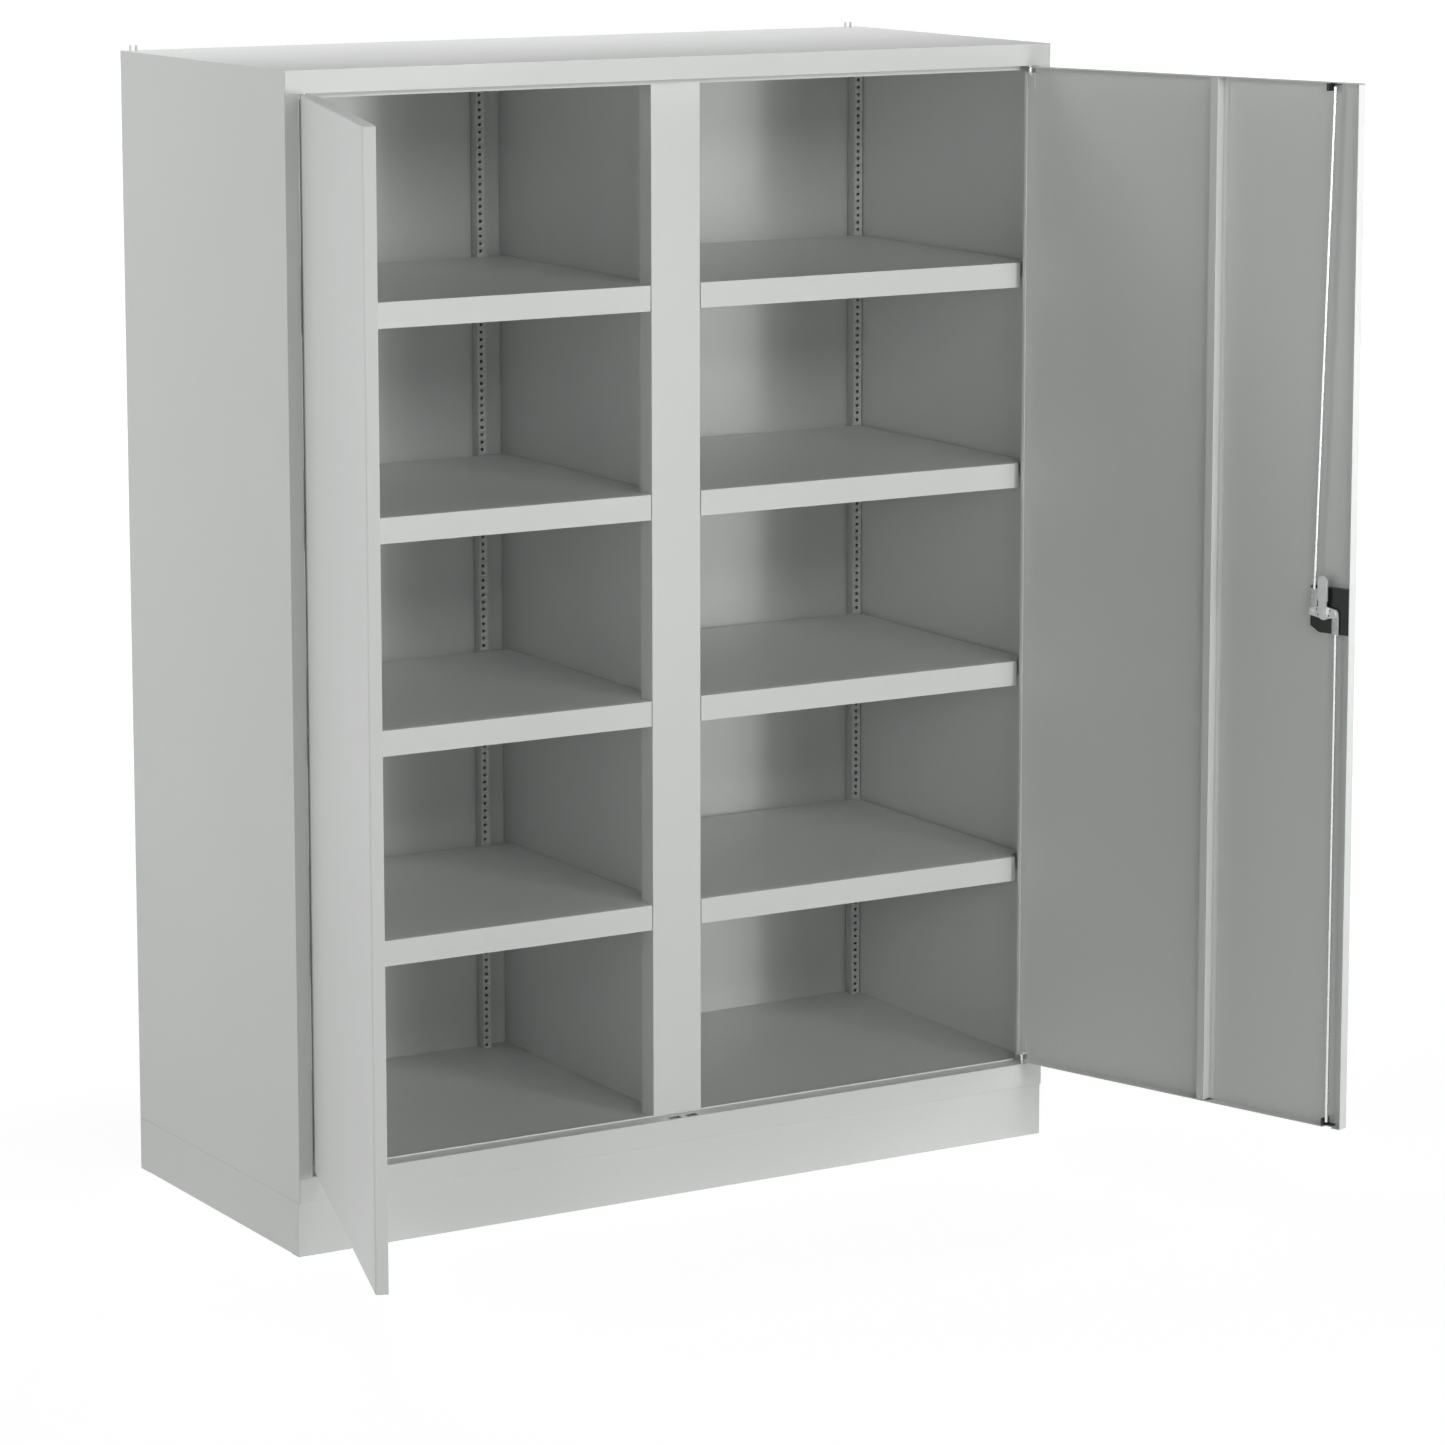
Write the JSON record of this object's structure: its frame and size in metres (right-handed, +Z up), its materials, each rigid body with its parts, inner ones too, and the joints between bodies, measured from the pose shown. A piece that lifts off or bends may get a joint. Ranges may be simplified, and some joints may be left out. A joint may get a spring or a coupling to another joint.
{
  "type": "cupboard",
  "caption": "Wide sheet steel cupboard on a plinth with a middle partition, tray shelves in two bays and two hinged leaves with a turning rod lock.",
  "frame": {"origin": "on the floor under the middle of the cupboard's body, on the underside of the middle plinth rail", "axes": "+X to the right seen from the front, +Y to the back, +Z up"},
  "size_m": [1.8893, 1.3153, 1.994],
  "materials": {
    "powder_coat": "satin light grey powder coat",
    "zinc": "bright zinc plating",
    "black_plastic": "matt black moulded plastic"
  },
  "bodies": {
    "carcass": {"plinth_front": "powder_coat", "plinth_rear": "powder_coat", "plinth_left": "powder_coat", "plinth_right": "powder_coat", "plinth_centre": "powder_coat", "floor_panel": "powder_coat", "roof_panel": "powder_coat", "side_panel_left": "powder_coat", "side_panel_right": "powder_coat", "back_panel_left": "powder_coat", "back_panel_right": "powder_coat", "centre_post": "powder_coat", "partition_left": "powder_coat", "partition_right": "powder_coat", "upright_left_rear_outer": "powder_coat", "upright_left_rear_inner": "powder_coat", "upright_left_front_outer": "powder_coat", "upright_right_rear_outer": "powder_coat", "upright_right_rear_inner": "powder_coat", "upright_right_front_outer": "powder_coat", "shelf_left_1": "powder_coat", "shelf_left_2": "powder_coat", "shelf_left_3": "powder_coat", "shelf_left_4": "powder_coat", "shelf_right_1": "powder_coat", "shelf_right_2": "powder_coat", "shelf_right_3": "powder_coat", "shelf_right_4": "powder_coat", "hinge_pin_left_bottom": "zinc", "hinge_pin_left_top": "zinc", "hinge_pin_right_bottom": "zinc", "hinge_pin_right_top": "zinc"},
    "leaf_left": {"door_left": "powder_coat", "stiffener_left": "powder_coat", "hinge_bracket_left_bottom": "powder_coat", "hinge_bracket_left_top": "powder_coat", "bolt_housing_top": "powder_coat", "bolt_housing_bottom": "powder_coat"},
    "leaf_right": {"door_right": "powder_coat", "stiffener_right": "powder_coat", "hinge_bracket_right_bottom": "powder_coat", "hinge_bracket_right_top": "powder_coat", "lock_case": "black_plastic", "rosette": "black_plastic", "guide_top": "black_plastic", "guide_bottom": "black_plastic"},
    "turning_lock": {"handle": "black_plastic", "spindle": "zinc", "cam_plate": "zinc", "latch_tongue": "zinc"},
    "key_cylinder": {"lock_cylinder": "zinc"},
    "rod_up": {"upper_rod": "zinc"},
    "rod_down": {"lower_rod": "zinc"},
    "bolt_up": {"bolt_top": "zinc"},
    "bolt_down": {"bolt_bottom": "zinc"}
  },
  "joints": [
    {"name": "left_leaf_hinge", "type": "hinge", "parent": "carcass", "child": "leaf_left", "pos_m": [-0.71179, -0.3133, 1], "axis": [0, 0, 1], "range_deg": [0, 108.7]},
    {"name": "right_leaf_hinge", "type": "hinge", "parent": "carcass", "child": "leaf_right", "pos_m": [0.71179, -0.3133, 1], "axis": [0, 0, -1], "range_deg": [0, 107.4]},
    {"name": "handle_turn", "type": "hinge", "parent": "leaf_right", "child": "turning_lock", "pos_m": [0.91444, -0.93756, 1.044], "axis": [0.9542, 0.299, 0], "range_deg": [0, 90]},
    {"name": "key_turn", "type": "hinge", "parent": "turning_lock", "child": "key_cylinder", "pos_m": [0.91444, -0.93756, 1.044], "axis": [0.9542, 0.299, 0], "range_deg": [0, 90]},
    {"name": "upper_rod_pivot", "type": "hinge", "parent": "turning_lock", "child": "rod_up", "pos_m": [0.89196, -0.9205, 1.044], "axis": [0.9542, 0.299, 0], "range_deg": [-91.71, 0]},
    {"name": "lower_rod_pivot", "type": "hinge", "parent": "turning_lock", "child": "rod_down", "pos_m": [0.90572, -0.96439, 1.044], "axis": [0.9542, 0.299, 0], "range_deg": [-91.98, 0]},
    {"name": "top_bolt_slide", "type": "slide", "parent": "leaf_left", "child": "bolt_up", "axis": [0, 0, 1], "range_m": [0, 0.015]},
    {"name": "bottom_bolt_slide", "type": "slide", "parent": "leaf_left", "child": "bolt_down", "axis": [0, 0, -1], "range_m": [0, 0.015]}
  ],
  "couplings": [
    {"joint": "upper_rod_pivot", "follows": "handle_turn", "ratio": -1.0185},
    {"joint": "lower_rod_pivot", "follows": "handle_turn", "ratio": -1.0214}
  ]
}
